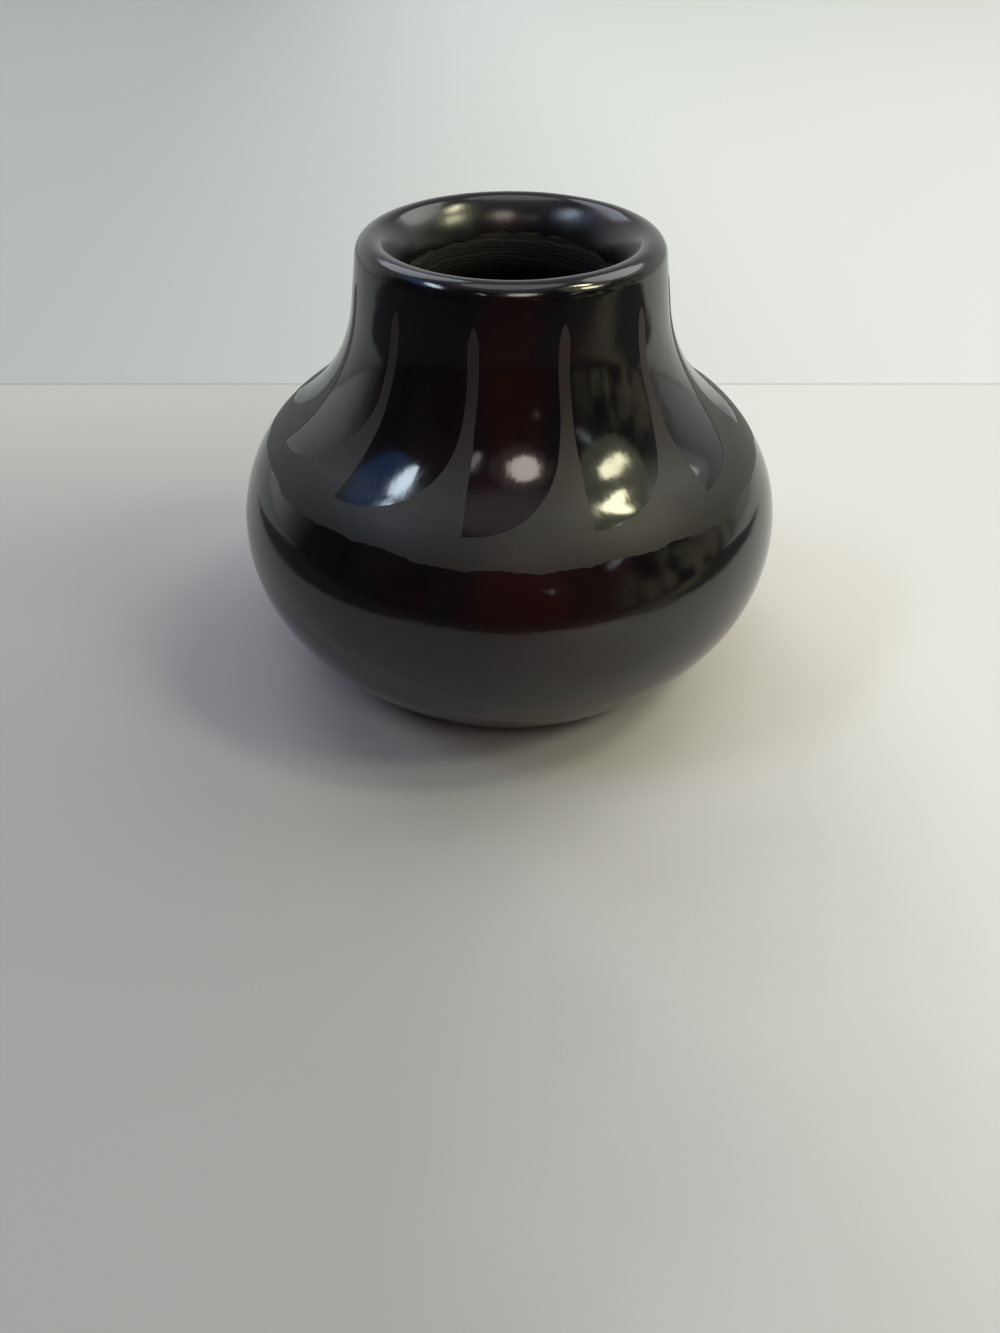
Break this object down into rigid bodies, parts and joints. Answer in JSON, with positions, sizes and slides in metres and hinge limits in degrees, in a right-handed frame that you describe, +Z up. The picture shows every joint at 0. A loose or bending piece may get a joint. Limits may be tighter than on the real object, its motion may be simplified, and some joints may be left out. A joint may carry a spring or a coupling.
{
  "type": "pottery jar",
  "caption": "Squat round-bellied black pottery jar with a short wide neck and thick rolled lip, polished all over, and a matte slip band that leaves a ring of long feathers.",
  "frame": {"origin": "centre of the flat foot, on the surface that the jar stands on", "axes": "+Z up along the jar's axis, -Y towards the side that the picture shows"},
  "size_m": [0.127, 0.127, 0.102],
  "materials": {
    "fired_clay": "scraped, unpolished black fired clay",
    "polished_slip": "stone-polished black slip with a mirror gloss, unglazed",
    "matte_slip": "matte black-brown slip, brushed on"
  },
  "bodies": {
    "root": {"base": "fired_clay", "wall_coil_1": "fired_clay", "wall_coil_2": "fired_clay", "wall_coil_3": "fired_clay", "wall_coil_4": "fired_clay", "wall_coil_5": "fired_clay", "wall_coil_6": "fired_clay", "wall_coil_7": "fired_clay", "wall_coil_8": "fired_clay", "lip_coil": "fired_clay", "polished_slip": "polished_slip", "matte_slip": "matte_slip"}
  },
  "joints": []
}
